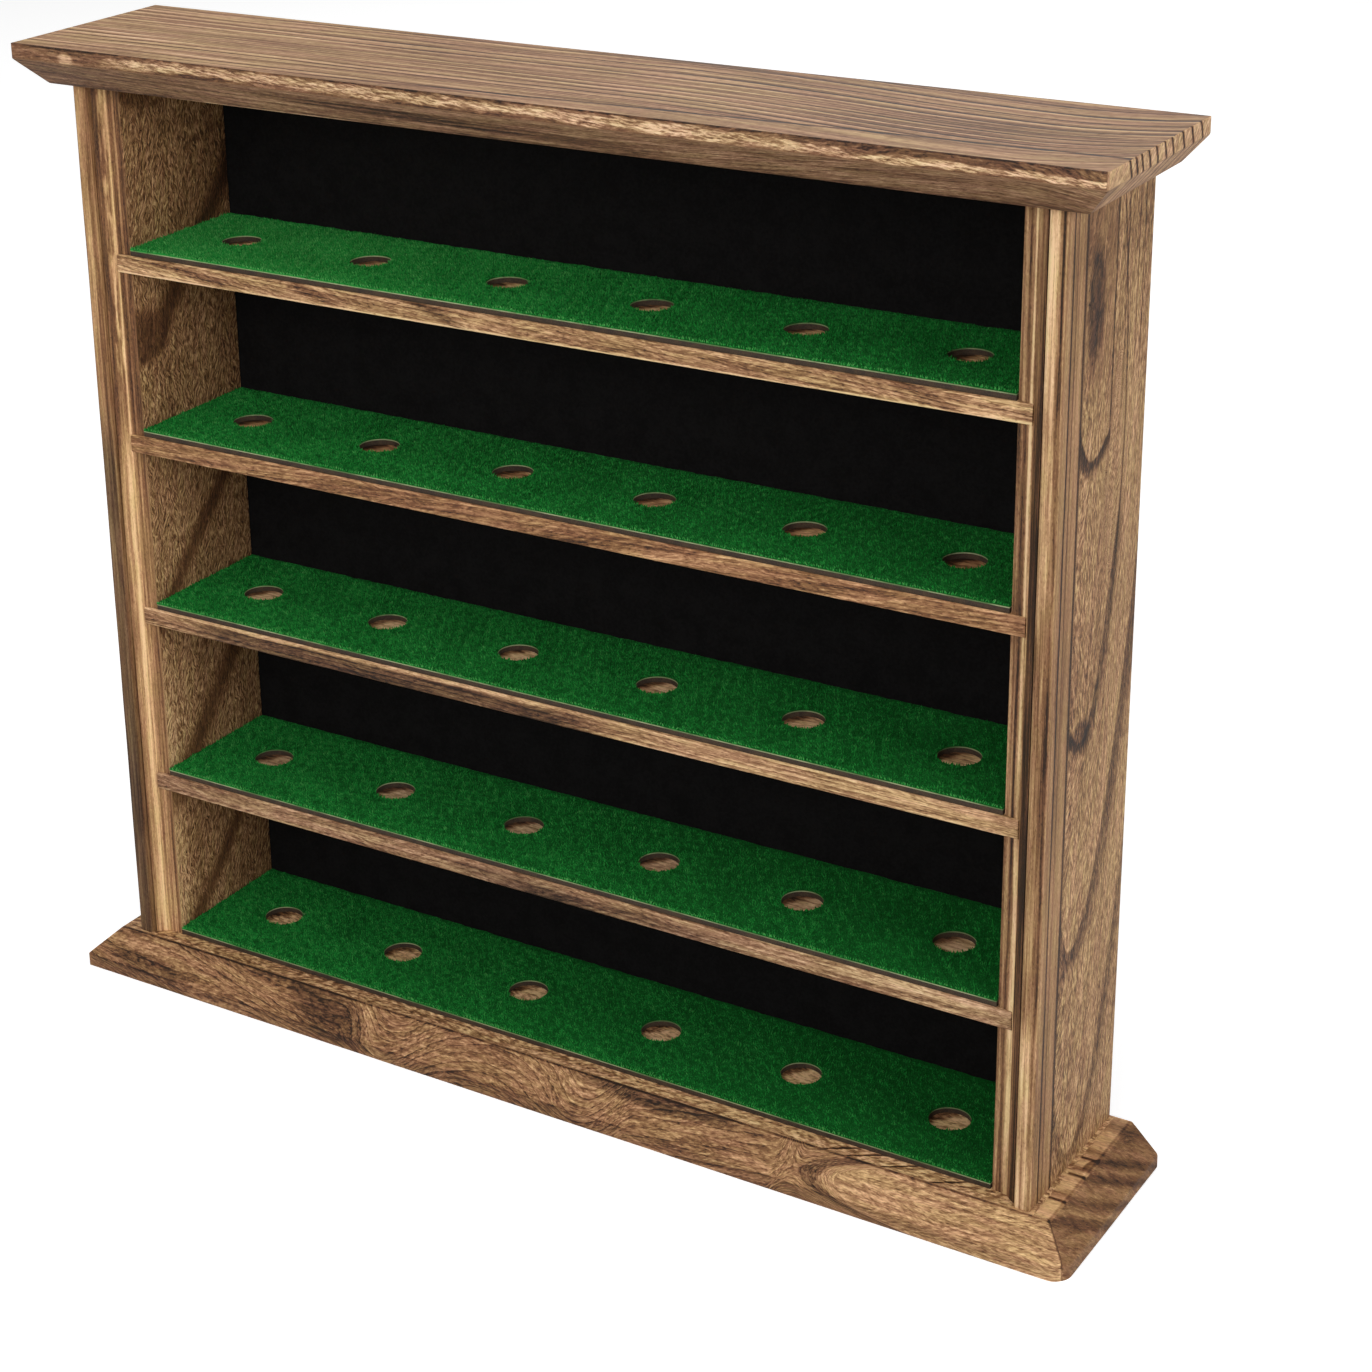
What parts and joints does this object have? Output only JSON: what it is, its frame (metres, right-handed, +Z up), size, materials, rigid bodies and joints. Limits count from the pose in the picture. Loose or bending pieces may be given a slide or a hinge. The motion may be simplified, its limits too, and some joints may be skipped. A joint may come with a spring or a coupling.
{
  "type": "golf ball display case",
  "caption": "Open wooden ball display rack with bevelled top and base, moulded uprights, felt-covered levels pierced with round seats, and a plain black back.",
  "frame": {"origin": "middle of the base board's underside", "axes": "+X across the case to the right of someone who faces its open front, +Y from the open front to the back panel, +Z up"},
  "size_m": [0.383, 0.074, 0.34],
  "materials": {
    "torched_wood": "torched brown open-grained wood, brushed, satin",
    "black_board": "black painted fibreboard, matte",
    "brown_board": "thin dark hardboard, matte edge",
    "green_felt": "short-pile green felt",
    "screw_steel": "zinc-plated steel",
    "dowel_wood": "plain turned wood",
    "black_steel": "black painted steel"
  },
  "bodies": {
    "root": {"base_board": "torched_wood", "top_board": "torched_wood", "left_side_panel": "torched_wood", "right_side_panel": "torched_wood", "shelf_1": "torched_wood", "shelf_2": "torched_wood", "shelf_3": "torched_wood", "shelf_4": "torched_wood", "back_panel": "black_board", "ball_board_1": "brown_board", "felt_pad_1": "green_felt", "ball_board_2": "brown_board", "felt_pad_2": "green_felt", "ball_board_3": "brown_board", "felt_pad_3": "green_felt", "ball_board_4": "brown_board", "felt_pad_4": "green_felt", "ball_board_5": "brown_board", "felt_pad_5": "green_felt", "base_screws": "screw_steel", "top_dowels": "dowel_wood", "back_panel_pins": "black_steel"}
  },
  "joints": []
}
